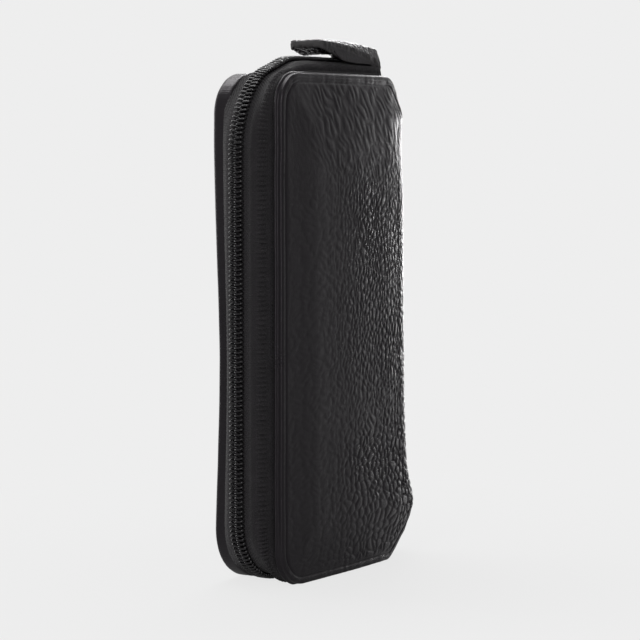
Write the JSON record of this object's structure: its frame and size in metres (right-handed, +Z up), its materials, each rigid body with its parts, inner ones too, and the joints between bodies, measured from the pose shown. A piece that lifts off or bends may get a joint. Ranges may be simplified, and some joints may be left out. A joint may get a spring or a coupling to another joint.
{
  "type": "zip key case",
  "caption": "Slim upright zip-around key case in pebbled black leather, with padded covers, a rounded spine, coil zip, leather pull tab and a rail of sprung key hooks inside.",
  "frame": {"origin": "on the surface that the case stands on, at the middle of its width and depth", "axes": "+X towards the spine, +Y towards the back cover, +Z up along the long side"},
  "size_m": [0.0622, 0.0206, 0.1246],
  "materials": {
    "black_leather": "tumbled pebble grain, semi-matt black",
    "tab_leather": "tumbled pebble grain, semi-matt black",
    "pocket_leather": "smooth black",
    "lining_cloth": "fine woven black lining",
    "foam": "thin black foam sheet",
    "board": "bonded stiffening board",
    "zip_tape": "woven black polyester tape",
    "zip_coil": "glossy black nylon coil",
    "thread": "black sewing thread",
    "slider_metal": "black lacquered die casting",
    "nickel": "bright nickel plate",
    "spring_steel": "nickel-plated spring strip"
  },
  "bodies": {
    "back_cover": {"back_leather": "black_leather", "back_padding": "foam", "back_board": "board", "back_filler": "foam", "back_lining": "lining_cloth", "back_zip_tape": "zip_tape", "back_zip_coil": "zip_coil", "back_seam_thread": "thread", "key_rail": "nickel", "rail_rivets": "nickel", "hook_rod": "nickel"},
    "spine": {"spine_leather": "black_leather", "spine_filler": "foam", "spine_lining": "lining_cloth", "zip_end_top": "zip_tape", "zip_end_bottom": "zip_tape"},
    "front_cover": {"front_leather": "black_leather", "front_padding": "foam", "front_board": "board", "front_filler": "foam", "front_lining": "lining_cloth", "front_zip_tape": "zip_tape", "front_zip_coil": "zip_coil", "front_seam_thread": "thread", "front_pocket": "pocket_leather"},
    "slider": {"zip_slider": "slider_metal", "pull_pin": "slider_metal"},
    "pull_tab": {"pull_tab_leather": "tab_leather", "pull_tab_core": "board"},
    "hook_1": {"key_hook_1": "nickel"},
    "gate_1": {"hook_gate_1": "spring_steel"},
    "hook_2": {"key_hook_2": "nickel"},
    "gate_2": {"hook_gate_2": "spring_steel"},
    "hook_3": {"key_hook_3": "nickel"},
    "gate_3": {"hook_gate_3": "spring_steel"},
    "hook_4": {"key_hook_4": "nickel"},
    "gate_4": {"hook_gate_4": "spring_steel"},
    "hook_5": {"key_hook_5": "nickel"},
    "gate_5": {"hook_gate_5": "spring_steel"},
    "hook_6": {"key_hook_6": "nickel"},
    "gate_6": {"hook_gate_6": "spring_steel"}
  },
  "joints": [
    {"name": "spine_fold", "type": "hinge", "parent": "back_cover", "child": "spine", "pos_m": [0.0241, 0.0095, 0.058], "axis": [0, 0, 1], "range_deg": [0, 90]},
    {"name": "front_fold", "type": "hinge", "parent": "spine", "child": "front_cover", "pos_m": [0.0241, -0.0095, 0.058], "axis": [0, 0, 1], "range_deg": [0, 90]},
    {"name": "slider_run", "type": "slide", "parent": "back_cover", "child": "slider", "axis": [-1, 0, 0], "range_m": [0, 0.02], "deforming": ["back_zip_coil", "front_zip_coil"]},
    {"name": "tab_swing", "type": "hinge", "parent": "slider", "child": "pull_tab", "pos_m": [0.0217, 0, 0.1216], "axis": [0, 1, 0], "range_deg": [0, 165]},
    {"name": "hook_swing_1", "type": "hinge", "parent": "back_cover", "child": "hook_1", "pos_m": [-0.0179, 0.00274, 0.0967], "axis": [-1, 0, 0], "range_deg": [0, 15]},
    {"name": "hook_swing_2", "type": "hinge", "parent": "back_cover", "child": "hook_2", "pos_m": [-0.0113, 0.00274, 0.0967], "axis": [-1, 0, 0], "range_deg": [0, 15]},
    {"name": "hook_swing_3", "type": "hinge", "parent": "back_cover", "child": "hook_3", "pos_m": [-0.0047, 0.00274, 0.0967], "axis": [-1, 0, 0], "range_deg": [0, 15]},
    {"name": "hook_swing_4", "type": "hinge", "parent": "back_cover", "child": "hook_4", "pos_m": [0.0019, 0.00274, 0.0967], "axis": [-1, 0, 0], "range_deg": [0, 15]},
    {"name": "hook_swing_5", "type": "hinge", "parent": "back_cover", "child": "hook_5", "pos_m": [0.0085, 0.00274, 0.0967], "axis": [-1, 0, 0], "range_deg": [0, 15]},
    {"name": "hook_swing_6", "type": "hinge", "parent": "back_cover", "child": "hook_6", "pos_m": [0.0151, 0.00274, 0.0967], "axis": [-1, 0, 0], "range_deg": [0, 15]},
    {"name": "gate_swing_1", "type": "hinge", "parent": "hook_1", "child": "gate_1", "pos_m": [-0.02025, 0.00274, 0.0885], "axis": [0, -1, 0], "range_deg": [0, 13], "stiffness_Nm_per_rad": 0.002, "springref_deg": -5.73},
    {"name": "gate_swing_2", "type": "hinge", "parent": "hook_2", "child": "gate_2", "pos_m": [-0.01365, 0.00274, 0.0885], "axis": [0, -1, 0], "range_deg": [0, 13], "stiffness_Nm_per_rad": 0.002, "springref_deg": -5.73},
    {"name": "gate_swing_3", "type": "hinge", "parent": "hook_3", "child": "gate_3", "pos_m": [-0.00705, 0.00274, 0.0885], "axis": [0, -1, 0], "range_deg": [0, 13], "stiffness_Nm_per_rad": 0.002, "springref_deg": -5.73},
    {"name": "gate_swing_4", "type": "hinge", "parent": "hook_4", "child": "gate_4", "pos_m": [-0.00045, 0.00274, 0.0885], "axis": [0, -1, 0], "range_deg": [0, 13], "stiffness_Nm_per_rad": 0.002, "springref_deg": -5.73},
    {"name": "gate_swing_5", "type": "hinge", "parent": "hook_5", "child": "gate_5", "pos_m": [0.00615, 0.00274, 0.0885], "axis": [0, -1, 0], "range_deg": [0, 13], "stiffness_Nm_per_rad": 0.002, "springref_deg": -5.73},
    {"name": "gate_swing_6", "type": "hinge", "parent": "hook_6", "child": "gate_6", "pos_m": [0.01275, 0.00274, 0.0885], "axis": [0, -1, 0], "range_deg": [0, 13], "stiffness_Nm_per_rad": 0.002, "springref_deg": -5.73}
  ]
}
